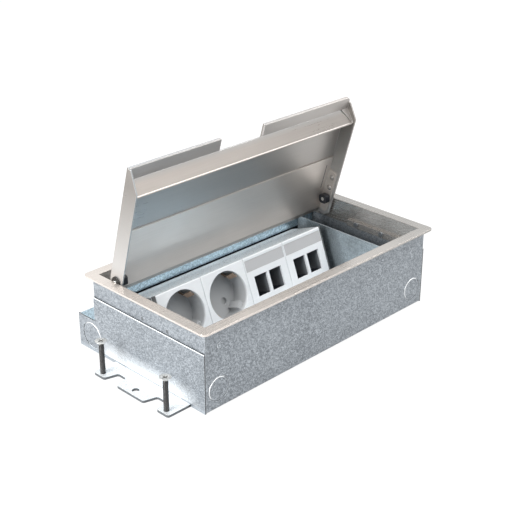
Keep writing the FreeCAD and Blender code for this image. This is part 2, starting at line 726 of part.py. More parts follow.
def pivot_block():
    outer = LID_IN_X - STIFFENER_T - BLOCK_GAP
    half = BLOCK_SIZE / 2
    block = box(outer - BLOCK_W, outer, PIVOT_Y - half, PIVOT_Y + half, TOP - half, TOP + half)
    edges = [e for e in block.Edges if e.BoundBox.XLength > BLOCK_W / 2]
    block = block.makeFillet(2.0, edges)
    return block.cut(cylinder_x(outer - BLOCK_W - 1, outer + 1, PIVOT_Y, TOP, PIVOT_R))


def pivot_ring():
    start = LID_X + (LID_SIDE_GAP - RING_T) / 2
    ring = cylinder_x(start, start + RING_T, PIVOT_Y, TOP, RING_R)
    return ring.cut(cylinder_x(start - 1, start + RING_T + 1, PIVOT_Y, TOP, PIVOT_R))


def pivot_pieces():
    return [("pivot_pin", pivot_pin()), ("pivot_block", pivot_block()), ("pivot_ring", pivot_ring())]


# Small fasteners and the earth terminal
def frame_rivets():
    """Rivets through the housing's long walls and the skirt behind them."""
    rivets = []
    inner = OPEN_Y
    z = rivet_height()
    for x in (-RIVET_X, RIVET_X):
        for sign in (-1, 1):
            axis = V(0, sign, 0)
            shank = Part.makeCylinder(RIVET_SHANK_R, WALL_Y - inner, V(x, sign * inner, z), axis)
            head = Part.makeCone(RIVET_R, RIVET_R * 0.6, RIVET_HEAD_H, V(x, sign * WALL_Y, z), axis)
            rivets.append(shank.fuse(head).removeSplitter())
    return Part.makeCompound(rivets)


def frame_screws():
    """Cheese-head screws through the skirt's ends into the housing."""
    screws = []
    z = TOP - FRAME_SCREW_DROP
    seat = OPEN_X - LEDGE_WIDTH
    for sign in (-1, 1):
        for y in FRAME_SCREW_Y:
            axis = V(sign, 0, 0)
            shank = Part.makeCylinder(RIVET_SHANK_R, WALL_X - seat, V(sign * seat, y, z), axis)
            head_start = V(sign * (seat - FRAME_SCREW_HEAD_H), y, z)
            head = Part.makeCylinder(FRAME_SCREW_R, FRAME_SCREW_HEAD_H, head_start, axis)
            screws.append(shank.fuse(head).removeSplitter())
    return Part.makeCompound(screws)


def carrier_screws():
    screws = []
    for sign in (-1, 1):
        x, y = sign * CARRIER_SCREW_X, carrier_screw_y()
        top = FLOOR_TOP + SHEET_T
        shank = cylinder_z(x, y, UNDERSIDE_GAP, top, STUD_R)
        head_top = top + CARRIER_SCREW_HEAD_H
        head = cylinder_z(x, y, top, head_top, STUD_NUT_R)
        half = CARRIER_SCREW_SLOT_W / 2
        slot_floor = head_top - CARRIER_SCREW_SLOT_DEPTH
        slot = box(x - STUD_NUT_R - 1, x + STUD_NUT_R + 1, y - half, y + half, slot_floor, head_top + 1)
        screws.append(shank.fuse(head).cut(slot).removeSplitter())
    return Part.makeCompound(screws)


def hexagon(x, y, z, radius, height):
    points = [V(x + radius * math.cos(math.radians(60 * i)), y + radius * math.sin(math.radians(60 * i)), z)
              for i in range(6)]
    return Part.Face(Part.makePolygon(points + [points[0]])).extrude(V(0, 0, height))


def earth_stud():
    return cylinder_z(STUD_X, STUD_Y, UNDERSIDE_GAP, STUD_HEIGHT, STUD_R)


def earth_nut():
    washer = cylinder_z(STUD_X, STUD_Y, FLOOR_TOP, FLOOR_TOP + STUD_WASHER_H, STUD_WASHER_R)
    nut = hexagon(STUD_X, STUD_Y, FLOOR_TOP + STUD_WASHER_H, STUD_NUT_R, STUD_NUT_H)
    return washer.fuse(nut).cut(cylinder_z(STUD_X, STUD_Y, 0, STUD_HEIGHT, STUD_R))


def build():
    os.makedirs("parts", exist_ok=True)
    save("trim_frame", trim_frame())
    save("housing_shell", housing_shell())
    right_plate = end_plate()
    save("end_plate_right", right_plate)
    save("end_plate_left", mirrored_x(right_plate))
    for label, sign in (("left", -1), ("right", 1)):
        for place, spot in zip(("front", "rear"), levelling_spots()):
            save("levelling_screw_" + label + "_" + place, levelling_screw(sign * spot[0], spot[1]))
    save("partition_right", partition())
    save("partition_left", mirrored_x(partition()))
    save("module_carrier", module_carrier())
    centres = module_centres()
    for number, x in enumerate(centres[:2], 1):
        save("socket_cover_%d" % number, onto_face(socket_cover(x)))
        save("earth_clip_%d" % number, onto_face(earth_clip(x)))
        save("socket_base_%d" % number, onto_face(socket_base(x)))
        save("contact_sleeves_%d" % number, onto_face(contact_sleeves(x)))
    for number, x in enumerate(centres[2:], 1):
        save("data_cover_%d" % number, onto_face(data_cover(x)))
        save("data_label_%d" % number, onto_face(data_label(x)))
        save("data_box_%d" % number, onto_face(data_box(x)))
    cap = end_cap()
    save("row_end_cap_right", onto_face(cap))
    save("row_end_cap_left", onto_face(mirrored_x(cap)))
    save("lid_plate", lid_plate())
    save("lid_stiffener", lid_stiffener())
    save("lid_rivets", lid_rivets())
    for label, flip in (("right", False), ("left", True)):
        for name, shape in pivot_pieces():
            save(name + "_" + label, mirrored_x(shape) if flip else shape)
    save("frame_rivets", frame_rivets())
    save("frame_screws", frame_screws())
    save("carrier_screws", carrier_screws())
    save("earth_stud", earth_stud())
    save("earth_nut", earth_nut())


build()
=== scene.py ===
import math

import bmesh
import bpy
from mathutils import Matrix, Vector


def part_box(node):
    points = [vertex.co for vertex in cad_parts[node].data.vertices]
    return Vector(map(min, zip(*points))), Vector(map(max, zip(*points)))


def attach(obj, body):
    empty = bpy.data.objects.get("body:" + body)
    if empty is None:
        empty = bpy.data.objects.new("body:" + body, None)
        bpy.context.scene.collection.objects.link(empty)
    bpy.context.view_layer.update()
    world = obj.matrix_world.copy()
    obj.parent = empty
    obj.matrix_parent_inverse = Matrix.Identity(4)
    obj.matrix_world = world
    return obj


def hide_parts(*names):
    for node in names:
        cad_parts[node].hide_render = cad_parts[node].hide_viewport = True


# Floor socket box: brushed stainless trim and lid, zinc-coated housing, pale plastic inserts.
# Metres. X runs along the length, the lid is hinged near the +Y side, +Z is up.

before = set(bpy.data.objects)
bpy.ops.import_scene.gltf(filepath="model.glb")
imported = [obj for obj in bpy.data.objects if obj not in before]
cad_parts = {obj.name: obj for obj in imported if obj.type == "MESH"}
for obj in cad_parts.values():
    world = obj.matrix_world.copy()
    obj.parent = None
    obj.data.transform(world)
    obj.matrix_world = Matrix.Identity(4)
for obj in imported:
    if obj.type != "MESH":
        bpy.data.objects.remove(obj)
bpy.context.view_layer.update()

# Camera, fitted to the photograph
CAMERA_PLACE = (-0.56233, -0.55254, 0.43324)
CAMERA_TURN = (45.049, 25.349)
LENS_MM = 79.054
SENSOR_MM = 36.0

# Housing, feet, carrier and levelling screws, as places in the frame
# Painted highlight on the end sheets along the rolled top edge, and on the feet's flat tops below the foot
# plane
SHEET_EDGE_TOP = 0.0475
ROLLED_EDGE_HIGHLIGHT = 0.0008
FOOT_PLANE = 0.01
# Painted shade in the crease at the foot of the end sheets
FOOT_CREASE = 0.0028
# Painted highlight low on the end sheets' upright faces, towards the feet
FOOT_HIGHLIGHT_LOW = 0.001
FOOT_HIGHLIGHT_TOP = 0.017
FOOT_HIGHLIGHT_FRONT = (-0.056, -0.038)
FOOT_HIGHLIGHT_REAR = (0.060, 0.045)
FOOT_HIGHLIGHT_SHARE = 0.85
HOUSING_END = 0.1207
HOUSING_FRONT = -0.0607
FOOT_START = HOUSING_END + 0.002
INSIDE_FRONT = -0.05
# Painted shadow, near black, on the rear wall's inner face behind this y and below this z
SHADOW_GAP_FRONT = 0.058
SHADOW_GAP_TOP = 0.0374
# Painted shadow, near black, on the carrier beyond these lines at its rear edge and right end
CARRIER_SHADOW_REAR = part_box("module_carrier")[1][1] - 0.0018
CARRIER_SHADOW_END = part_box("module_carrier")[1][0] - 0.0014
SCREW_HEAD_LOW = 0.0266
SCREW_HEAD_TOP = 0.0288
SCREW_BANDS = 300.0
SCREW_BAND_DEPTH = 0.0004

# Pressed lips, coloured white as a painted highlight: radius of the bead, then place, radius, first angle and
# sweep of each arc
LIP_R = 0.0005
LIP_SIDES = 8
LIP_STEPS = 24
FRONT_KNOCKOUT_X = 0.1077
FRONT_KNOCKOUT_Z = 0.0158
FRONT_LIP = (0.0090, -125, 160)
CHAMBER_KNOCKOUT_Y = 0.0647
CHAMBER_KNOCKOUT_Z = 0.0135
CHAMBER_LIP = (0.0103, -40, 150)

# Inserts, in the tilted face's own plane
FACE_TILT = math.radians(68.74)
FACE_NORMAL = (0.0, -math.sin(FACE_TILT), math.cos(FACE_TILT))
FACE_EDGE = (0.026, 0.0497)
FACE_PLANE = FACE_EDGE[0] * FACE_NORMAL[1] + FACE_EDGE[1] * FACE_NORMAL[2]
RECESS_LIP = 0.0004
# Painted shade in the socket recess is full at this depth
RECESS_SHADE_DEPTH = 0.003
SOCKET_R = 0.0192
SOCKET_CENTRE_DROP = 0.0225
SOCKET_SLACK = 0.00002
SOCKET_SKIN = 0.0001
SOCKET_BACK = 0.0182
SOCKET_TURN = math.radians(-45.0)
SOCKET_X = (-0.0675, -0.0225)

# The lid, drawn shut and then swung open about its pivot
LID_TOP = 0.066
LID_HALF = 0.1152
LID_T = 0.0012
LID_FRONT = -0.0572
LID_REAR = 0.0557
LID_PIVOT_Y = 0.0383
LID_LIFT = 0.0072
LID_OPEN = math.radians(-74.0)
LID_WALL_DEPTH = 0.0132
LID_NOSE = 0.0036
LID_NOSE_REACH = 0.0155
LID_CORNER_R = 0.0045
LID_LEFT_CORNER_R = 0.0006
CORNER_SEGMENTS = 6
HEM_T = 0.0026
HEM_REACH = 0.0098
STRIP_REACH = 0.0091
STRIP_DROP = 0.0090
STRIP_BEAD_R = 0.00075
STRIP_BEAD_SIDES = 14
STRIP_END_GAP = 0.0006
STRIP_MITRE = 0.0085
STRIP_BEND = 0.0042
STRIP_BEND_SHARE = 0.85
TAB_GAP = 0.0016
NOTCH_LEFT = -0.0290
NOTCH_RIGHT = 0.0160
NOTCH_DEPTH = 0.0115
LID_SWING = (Matrix.Translation((0, LID_PIVOT_Y, LID_TOP)) @ Matrix.Rotation(LID_OPEN, 4, "X")
             @ Matrix.Translation((0, -LID_PIVOT_Y, LID_LIFT - LID_TOP)))
STRIP_DOWN = LID_SWING.to_3x3() @ Vector((0, STRIP_REACH, -STRIP_DROP)).normalized()
STRIP_START = STRIP_DOWN.dot(LID_SWING @ Vector((0, LID_FRONT + HEM_REACH, LID_TOP - HEM_T)))
# Painted shading on the lid's side walls: darker tan at the first height, paler at the second, towards the
# hinge
WALL_SHADE_TOP = 0.145
WALL_LIT_FROM = 0.08
SLOT_X = 0.1080
SLOT_HALF = 0.00035
SLOT_LOW = 0.0755
SLOT_HIGH = 0.0975

# How squarely a face must look along an axis to count as facing it
SQUARE_ON = 0.7
MOSTLY_ON = 0.6
HALF_ON = 0.5

# Tolerances for picking edges and welding points
SAME_POINT = 1e-6
WELD = 1e-6

# Stage
FLOOR_HALF = 6.0
FLOOR_SPECKS = 60.0
FLOOR_WHITE = 0.8
SKY_POWER = 0.6
LAMP_AIM = (0, 0, 0.03)

# Shared effects: scales per metre, shares of the tone, and the values between which a mask rises
FLAKE_MM = 0.9
RIPPLES = 420.0
RIPPLE_SHIFT = (0.0012, 0.0012, 0.0012)
FINE_FLAKES = 2.3
COARSE_CURVE = 1.8
COARSE_SHARE = 0.78
FINE_SHARE = 0.36
CLOUDS = 30.0
CLOUD_SHARE = 0.16
TONE_DROP = 0.10
LINE_RISE = (0.3, 0.7)
SMUDGE_RISE = (0.35, 0.68)
SCRATCH_RISE = (0.72, 0.78)
SCRATCH_TURN = (0.3, 0.5, 0.9)
SCRATCH_STRETCH = (8.0, 900.0, 900.0)
EDGE_RISE = (0.98, 0.80)
EDGE_SAMPLES = 6
TONE_DRIFTS = 45.0

# Materials: tones as factors, depths in metres, shares of a mask
# Span along X of the steels' painted gradient of light and shade
STEEL_SHADING_SPAN = (-0.13, 0.13)
LINE_TONES = ((0.95, 0.95, 0.95), (1.03, 1.03, 1.03))
LINE_DEPTH = 0.00002
DUST_SHARE = 0.10
ZINC_RIM_HIGHLIGHT_SHARE = 0.6
SCRATCH_SHARE = 0.3
SKIN_DEPTH = 0.00001
SKIN_STRENGTH = 0.6
DUST_LIFT = 1.05
PLASTIC_TONES = (0.94, 1.04)
PLASTIC_SCRATCH = (1.25, 0.01)
# Plated metal: tone where smudged, then the painted highlight on its edges
PLATED_SMUDGE_AND_HIGHLIGHT = (0.8, 1.35)

# Change of roughness, from where its mask is 0 to where it is 1
STEEL_RUB = (-0.04, 0.06)
STEEL_LINES = (-0.04, 0.05)
ZINC_FLAKES = (0.09, -0.09)
PLASTIC_RUB = (-0.05, 0.08)
PLATED_RUB = (0.1, 0.0)
SCREW_RUB = (0.12, 0.0)

# Colours, as linear light
WHITE_LIGHT = (1.0, 1.0, 1.0)
# Steels: each TONE and SHADE pair gives the left-end and right-end colours of painted light and shade along X
TRIM_TONE = (0.70, 0.645, 0.60)
TRIM_SHADE = (0.36, 0.35, 0.335)
# Steels' EDGE colours are painted along sharp edges: painted shade on the trim, a painted highlight on the
# lid and hem
TRIM_EDGE_SHADE = (0.42, 0.36, 0.32)
LID_TONE = (0.40, 0.425, 0.44)
LID_SHADE = (0.39, 0.36, 0.335)
LID_EDGE_HIGHLIGHT = (0.80, 0.78, 0.76)
HEM_TONE = (0.36, 0.355, 0.355)
HEM_SHADE = (0.42, 0.395, 0.375)
HEM_EDGE_HIGHLIGHT = (0.62, 0.60, 0.58)
STRIP_TAN = (0.50, 0.455, 0.42)
STRIP_SHADE = (0.33, 0.305, 0.285)
BEND_SHADING = (0.40, 0.395, 0.39)
WALL_SHADE_TAN = (0.245, 0.228, 0.212)
WALL_LIT_PALE = (0.50, 0.485, 0.47)
INNER_TONE = (0.68, 0.655, 0.635)
INNER_SHADE = (0.58, 0.53, 0.49)
ZINC_DARK = (0.105, 0.118, 0.133)
ZINC_PALE = (0.372, 0.402, 0.433)
# Partition zinc, made paler than the housing's as painted light
ZINC_INNER_LIT_DARK = (0.18, 0.215, 0.235)
ZINC_INNER_LIT_PALE = (0.43, 0.49, 0.525)
ZINC_RIM_HIGHLIGHT = (0.72, 0.75, 0.78)
ZINC_HIGHLIGHT = (0.86, 0.89, 0.91)
INSIDE_PAINTED_LIGHT = (1.45, 1.75, 1.85)
CREASE_SHADE = (0.30, 0.33, 0.36)
FOOT_RIM_SHADE = (0.12, 0.13, 0.14)
CARRIER_LIT_ZINC = (0.62, 0.70, 0.75)
PAINTED_SHADE_DARK = (0.05, 0.055, 0.06)
INSERT_WHITE = (0.80, 0.82, 0.84)
RECESS_SHADE = (0.44, 0.45, 0.46)
LABEL_GREY = (0.50, 0.50, 0.51)
CHEEK_GREY = (0.12, 0.125, 0.13)
BLOCK_GREY = (0.02, 0.021, 0.022)
TUNNEL_GREY = (0.19, 0.20, 0.215)
NEAR_BLACK = (0.009, 0.011, 0.016)
SPRING_COPPER = (0.70, 0.52, 0.40)
SLEEVE_BRASS = (0.78, 0.58, 0.26)
SCREW_ZINC = (0.74, 0.74, 0.72)
SCREW_SHANK = (0.05, 0.05, 0.05)
RING_DARK = (0.07, 0.07, 0.07)
DULL_ZINC = (0.22, 0.235, 0.25)
LIP_HIGHLIGHT = (0.88, 0.90, 0.92)
FLOOR_TONES = ((0.90, 0.90, 0.90), (0.93, 0.93, 0.93))
SKY_TONE = (0.95, 0.98, 1.0)
OVERHEAD_TONE = (1.0, 0.99, 0.97)


# Node helpers
def make_group(name, inputs, outputs):
    group = bpy.data.node_groups.new(name, "ShaderNodeTree")
    for label, kind, value in inputs:
        socket = group.interface.new_socket(name=label, in_out="INPUT", socket_type=kind)
        socket.default_value = value
    for label, kind in outputs:
        group.interface.new_socket(name=label, in_out="OUTPUT", socket_type=kind)
    entry = group.nodes.new("NodeGroupInput")
    leave = group.nodes.new("NodeGroupOutput")
    return group, entry, leave


def feed(tree, socket, value):
    """Links the socket to another one, or gives it the value; a colour comes without its alpha."""
    if isinstance(value, bpy.types.NodeSocket):
        tree.links.new(value, socket)
    elif isinstance(value, tuple):
        socket.default_value = (*value, 1.0)
    else:
        socket.default_value = value


def math_node(tree, operation, first, second=None, clamp=False):
    node = tree.nodes.new("ShaderNodeMath")
    node.operation = operation
    node.use_clamp = clamp
    feed(tree, node.inputs[0], first)
    if second is not None:
        feed(tree, node.inputs[1], second)
    return node.outputs[0]


def ramp_node(tree, value, low, high, to_low=0.0, to_high=1.0):
    node = tree.nodes.new("ShaderNodeMapRange")
    tree.links.new(value, node.inputs["Value"])
    node.inputs["From Min"].default_value = low
    node.inputs["From Max"].default_value = high
    node.inputs["To Min"].default_value = to_low
    node.inputs["To Max"].default_value = to_high
    return node.outputs["Result"]


def spread(tree, mask, middle, change):
    """The middle value, changed by the first number where the mask is 0 and by the second where it is 1."""
    return ramp_node(tree, mask, 0.0, 1.0, middle + change[0], middle + change[1])


def blend_colour(tree, mask, first, second):
    node = tree.nodes.new("ShaderNodeMix")
    node.data_type = "RGBA"
    tree.links.new(mask, node.inputs["Factor"])
    feed(tree, node.inputs[6], first)
    feed(tree, node.inputs[7], second)
    return node.outputs[2]


def multiply_colour(tree, first, second):
    node = tree.nodes.new("ShaderNodeMix")
    node.data_type = "RGBA"
    node.blend_type = "MULTIPLY"
    node.inputs[0].default_value = 1.0
    feed(tree, node.inputs[6], first)
    feed(tree, node.inputs[7], second)
    return node.outputs[2]


def dot_product(tree, place, direction):
    node = tree.nodes.new("ShaderNodeVectorMath")
    node.operation = "DOT_PRODUCT"
    tree.links.new(place, node.inputs[0])
    node.inputs[1].default_value = direction
    return node.outputs["Value"]


def scaled(colour, factor):
    """The colour made lighter or darker, held at white."""
    return tuple(min(1.0, part * factor) for part in colour)


def both(tree, first, second):
    return math_node(tree, "MULTIPLY", first, second)


def over(tree, value, limit):
    return math_node(tree, "GREATER_THAN", value, limit)


def under(tree, value, limit):
    return math_node(tree, "LESS_THAN", value, limit)


def size_of(tree, value):
    return math_node(tree, "ABSOLUTE", value)


def object_place(tree):
    return tree.nodes.new("ShaderNodeTexCoord").outputs["Object"]


def face_parts(tree):
    """The surface's own direction and its place, as separate numbers."""
    face = tree.nodes.new("ShaderNodeNewGeometry")
    look = tree.nodes.new("ShaderNodeSeparateXYZ")
    tree.links.new(face.outputs["True Normal"], look.inputs[0])
    place = tree.nodes.new("ShaderNodeSeparateXYZ")
    tree.links.new(object_place(tree), place.inputs[0])
    return look.outputs, place.outputs


def noise(tree, place, scale, detail, rough=0.5):
    node = tree.nodes.new("ShaderNodeTexNoise")
    tree.links.new(place, node.inputs["Vector"])
    node.inputs["Detail"].default_value = detail
    node.inputs["Roughness"].default_value = rough
    feed(tree, node.inputs["Scale"], scale)
    return node


# Shared effects
def zinc_spangle_group():
    """Crystal flakes of a zinc coat: a tone for each flake and a small tilt of its face."""
    group, entry, leave = make_group(
        "zinc_spangle",
        [("Flakes per metre", "NodeSocketFloat", 300.0), ("Tilt", "NodeSocketFloat", 0.1)],
        [("Tone", "NodeSocketFloat"), ("Normal", "NodeSocketVector")])
    links = group.links
    place = object_place(group)
    ripple = noise(group, place, RIPPLES, 2.0)
    shift = group.nodes.new("ShaderNodeVectorMath")
    shift.operation = "MULTIPLY_ADD"
    links.new(ripple.outputs["Color"], shift.inputs[0])
    shift.inputs[1].default_value = RIPPLE_SHIFT
    links.new(place, shift.inputs[2])
    flakes = group.nodes.new("ShaderNodeTexVoronoi")
    links.new(shift.outputs[0], flakes.inputs["Vector"])
    links.new(entry.outputs["Flakes per metre"], flakes.inputs["Scale"])
    small = group.nodes.new("ShaderNodeTexVoronoi")
    links.new(shift.outputs[0], small.inputs["Vector"])
    finer = math_node(group, "MULTIPLY", entry.outputs["Flakes per metre"], FINE_FLAKES)
    links.new(finer, small.inputs["Scale"])
    parts = group.nodes.new("ShaderNodeSeparateColor")
    links.new(flakes.outputs["Color"], parts.inputs[0])
    fine_parts = group.nodes.new("ShaderNodeSeparateColor")
    links.new(small.outputs["Color"], fine_parts.inputs[0])
    curved = math_node(group, "POWER", parts.outputs[0], COARSE_CURVE)
    coarse = math_node(group, "MULTIPLY", curved, COARSE_SHARE)
    fine = math_node(group, "MULTIPLY", fine_parts.outputs[0], FINE_SHARE)
    cloud = noise(group, place, CLOUDS, 3.0)
    wide = math_node(group, "MULTIPLY", cloud.outputs["Fac"], CLOUD_SHARE)
    tone = math_node(group, "ADD", math_node(group, "ADD", coarse, fine), wide)
    links.new(math_node(group, "SUBTRACT", tone, TONE_DROP, True), leave.inputs["Tone"])
    centred = group.nodes.new("ShaderNodeVectorMath")
    centred.operation = "SUBTRACT"
    links.new(small.outputs["Color"], centred.inputs[0])
    centred.inputs[1].default_value = (0.5, 0.5, 0.5)
    tilted = group.nodes.new("ShaderNodeVectorMath")
    tilted.operation = "SCALE"
    links.new(centred.outputs[0], tilted.inputs[0])
    links.new(entry.outputs["Tilt"], tilted.inputs["Scale"])
    face = group.nodes.new("ShaderNodeNewGeometry")
    total = group.nodes.new("ShaderNodeVectorMath")
    links.new(tilted.outputs[0], total.inputs[0])
    links.new(face.outputs["Normal"], total.inputs[1])
    unit = group.nodes.new("ShaderNodeVectorMath")
    unit.operation = "NORMALIZE"
    links.new(total.outputs[0], unit.inputs[0])
    links.new(unit.outputs[0], leave.inputs["Normal"])
    return group


def brushed_grain_group():
    """Fine grinding lines along X, and along Y on faces that look along X."""
    group, entry, leave = make_group(
        "brushed_grain",
        [("Lines per metre", "NodeSocketFloat", 1400.0), ("Line length", "NodeSocketFloat", 0.02)],
        [("Tone", "NodeSocketFloat"), ("Height", "NodeSocketFloat")])
    links = group.links
    look, along = face_parts(group)
    end_on = over(group, size_of(group, look[0]), SQUARE_ON)
    close = entry.outputs["Lines per metre"]
    slow = math_node(group, "MULTIPLY", close, entry.outputs["Line length"])
    tone = None
    for turned in (False, True):
        run, cross = (1, 0) if turned else (0, 1)
        line = group.nodes.new("ShaderNodeCombineXYZ")
        links.new(math_node(group, "MULTIPLY", along[run], slow), line.inputs[0])
        links.new(math_node(group, "MULTIPLY", along[cross], close), line.inputs[1])
        links.new(math_node(group, "MULTIPLY", along[2], close), line.inputs[2])
        grain = noise(group, line.outputs[0], 1.0, 3.0, 0.6)
        if tone is None:
            tone = grain.outputs["Fac"]
            continue
        pick = group.nodes.new("ShaderNodeMix")
        links.new(end_on, pick.inputs[0])
        links.new(tone, pick.inputs[2])
        links.new(grain.outputs["Fac"], pick.inputs[3])
        tone = pick.outputs[0]
    sharp = ramp_node(group, tone, *LINE_RISE)
    links.new(sharp, leave.inputs["Tone"])
    links.new(sharp, leave.inputs["Height"])
    return group


def handling_marks_group():
    """Broad smudges and sparse short scratches."""
    group, entry, leave = make_group(
        "handling_marks",
        [("Marks per metre", "NodeSocketFloat", 30.0)],
        [("Smudge", "NodeSocketFloat"), ("Scratch", "NodeSocketFloat")])
    place = object_place(group)
    broad = noise(group, place, entry.outputs["Marks per metre"], 4.0, 0.55)
    group.links.new(ramp_node(group, broad.outputs["Fac"], *SMUDGE_RISE), leave.inputs["Smudge"])
    turn = group.nodes.new("ShaderNodeMapping")
    turn.inputs["Rotation"].default_value = SCRATCH_TURN
    turn.inputs["Scale"].default_value = SCRATCH_STRETCH
    group.links.new(place, turn.inputs["Vector"])
    streak = noise(group, turn.outputs[0], 1.0, 1.0)
    group.links.new(ramp_node(group, streak.outputs["Fac"], *SCRATCH_RISE), leave.inputs["Scratch"])
    return group


def cut_edge_group():
    """A mask along the sharp edges of sheet metal, and a normal that rounds them."""
    group, entry, leave = make_group(
        "cut_edge",
        [("Radius", "NodeSocketFloat", 0.0006)],
        [("Mask", "NodeSocketFloat"), ("Normal", "NodeSocketVector")])
    links = group.links
    rounded = group.nodes.new("ShaderNodeBevel")
    rounded.samples = EDGE_SAMPLES
    links.new(entry.outputs["Radius"], rounded.inputs["Radius"])
    face = group.nodes.new("ShaderNodeNewGeometry")
    agree = group.nodes.new("ShaderNodeVectorMath")
    agree.operation = "DOT_PRODUCT"
    links.new(rounded.outputs[0], agree.inputs[0])
    links.new(face.outputs["Normal"], agree.inputs[1])
    links.new(ramp_node(group, agree.outputs["Value"], *EDGE_RISE), leave.inputs["Mask"])
    links.new(rounded.outputs[0], leave.inputs["Normal"])
    return group


def moulded_skin_group():
    """Faint texture and tone drift of moulded plastic."""
    group, entry, leave = make_group(
        "moulded_skin",
        [("Grain per metre", "NodeSocketFloat", 2600.0)],
        [("Tone", "NodeSocketFloat"), ("Height", "NodeSocketFloat")])
    place = object_place(group)
    grain = noise(group, place, entry.outputs["Grain per metre"], 2.0)
    drift = noise(group, place, TONE_DRIFTS, 3.0)
    group.links.new(grain.outputs["Fac"], leave.inputs["Height"])
    group.links.new(drift.outputs["Fac"], leave.inputs["Tone"])
    return group


SPANGLE = zinc_spangle_group()
GRAIN = brushed_grain_group()
MARKS = handling_marks_group()
EDGE = cut_edge_group()
SKIN = moulded_skin_group()


def place_group(tree, group, **values):
    """A node that shows the group, its inputs set by name."""
    node = tree.nodes.new("ShaderNodeGroup")
    node.node_tree = group
    for label, value in values.items():
        node.inputs[label.replace("_", " ")].default_value = value
    return node


def start_material(name):
    """A new material, its node tree and its shader."""
    material = bpy.data.materials.new(name)
    material.use_nodes = True
    tree = material.node_tree
    return material, tree, tree.nodes["Principled BSDF"]


def shader_parts(material):
    """Node tree, shader and present base colour of a material that gets more masks."""
    tree = material.node_tree
    shader = tree.nodes["Principled BSDF"]
    return tree, shader, shader.inputs["Base Color"].links[0].from_socket


def bump_node(tree, height, distance, strength, normal):
    node = tree.nodes.new("ShaderNodeBump")
    node.inputs["Distance"].default_value = distance
    node.inputs["Strength"].default_value = strength
    tree.links.new(height, node.inputs["Height"])
    tree.links.new(normal, node.inputs["Normal"])
    return node.outputs["Normal"]


# Materials
def brushed_stainless(name, colour, right_end_shading, painted_edge_tone, rough, metal, scored):
    """Brushed steel whose tone drifts from colour at the left end to the second colour at the right, a
    painted gradient of light and shade; the third colour is painted along sharp edges: a painted highlight on
    the lid, hem and strip, and painted shade on the trim.
    """
    material, tree, shader = start_material(name)
    links = tree.links
    grain = place_group(tree, GRAIN, Lines_per_metre=2200.0, Line_length=0.012)
    marks = place_group(tree, MARKS, Marks_per_metre=24.0)
    edge = place_group(tree, EDGE, Radius=0.0005)
    along = tree.nodes.new("ShaderNodeSeparateXYZ")
    links.new(object_place(tree), along.inputs[0])
    # Painted light and shade: the tone changes from the left end to the right end, as the reflections do.
    drift = ramp_node(tree, along.outputs[0], *STEEL_SHADING_SPAN)
    tint = blend_colour(tree, drift, colour, right_end_shading)
    lines = blend_colour(tree, grain.outputs["Tone"], *LINE_TONES)
    # Painted edge line: the third colour along sharp edges, a painted highlight on the lid steels and painted
    # shade on the trim.
    painted_edge = blend_colour(tree, edge.outputs["Mask"], multiply_colour(tree, tint, lines), painted_edge_tone)
    links.new(painted_edge, shader.inputs["Base Color"])
    shader.inputs["Metallic"].default_value = metal
    rub = spread(tree, marks.outputs["Smudge"], rough, STEEL_RUB)
    shine = math_node(tree, "ADD", rub, spread(tree, grain.outputs["Tone"], 0.0, STEEL_LINES))
    links.new(shine, shader.inputs["Roughness"])
    scratched = bump_node(tree, grain.outputs["Height"], LINE_DEPTH, scored, edge.outputs["Normal"])
    links.new(scratched, shader.inputs["Normal"])
    return material


def zinc_coated(name, dark, pale, rough, metal):
    """Zinc coat with flakes from dark to pale, dusty patches and a painted highlight on cut edges."""
    material, tree, shader = start_material(name)
    links = tree.links
    flakes = place_group(tree, SPANGLE, Flakes_per_metre=1000.0 / FLAKE_MM, Tilt=0.12)
    marks = place_group(tree, MARKS, Marks_per_metre=18.0)
    edge = place_group(tree, EDGE, Radius=0.0006)
    base = blend_colour(tree, flakes.outputs["Tone"], dark, pale)
    dust = math_node(tree, "MULTIPLY", marks.outputs["Smudge"], DUST_SHARE)
    dusted = blend_colour(tree, dust, base, tuple(part * DUST_LIFT for part in pale))
    # Painted highlight: the cut edges are made paler.
    rim = math_node(tree, "MULTIPLY", edge.outputs["Mask"], ZINC_RIM_HIGHLIGHT_SHARE)
    links.new(blend_colour(tree, rim, dusted, ZINC_RIM_HIGHLIGHT), shader.inputs["Base Color"])
    shader.inputs["Metallic"].default_value = metal
    links.new(spread(tree, flakes.outputs["Tone"], rough, ZINC_FLAKES), shader.inputs["Roughness"])
    links.new(flakes.outputs["Normal"], shader.inputs["Normal"])
    return material


def zinc_housing():
    """Housing sheet: painted light inside, where the coat is made paler, and painted shadow, near black, low
    on the rear wall's inner face.
    """
    material = zinc_coated("zinc_housing_sheet", ZINC_DARK, ZINC_PALE, rough=0.34, metal=0.5)
    tree, shader, colour = shader_parts(material)
    look, place = face_parts(tree)
    within = both(tree, over(tree, place[1], INSIDE_FRONT), over(tree, look[0], -HALF_ON))
    within = both(tree, within, under(tree, look[1], HALF_ON))
    # Painted light: the inner faces are made paler than the outer ones.
    colour = blend_colour(tree, within, colour, multiply_colour(tree, colour, INSIDE_PAINTED_LIGHT))
    # Painted shadow: near black low on the rear wall's inner face, behind the carrier.
    low_rear = both(tree, over(tree, place[1], SHADOW_GAP_FRONT), under(tree, place[2], SHADOW_GAP_TOP))
    gap = both(tree, under(tree, look[1], -HALF_ON), low_rear)
    tree.links.new(blend_colour(tree, gap, colour, NEAR_BLACK), shader.inputs["Base Color"])
    return material


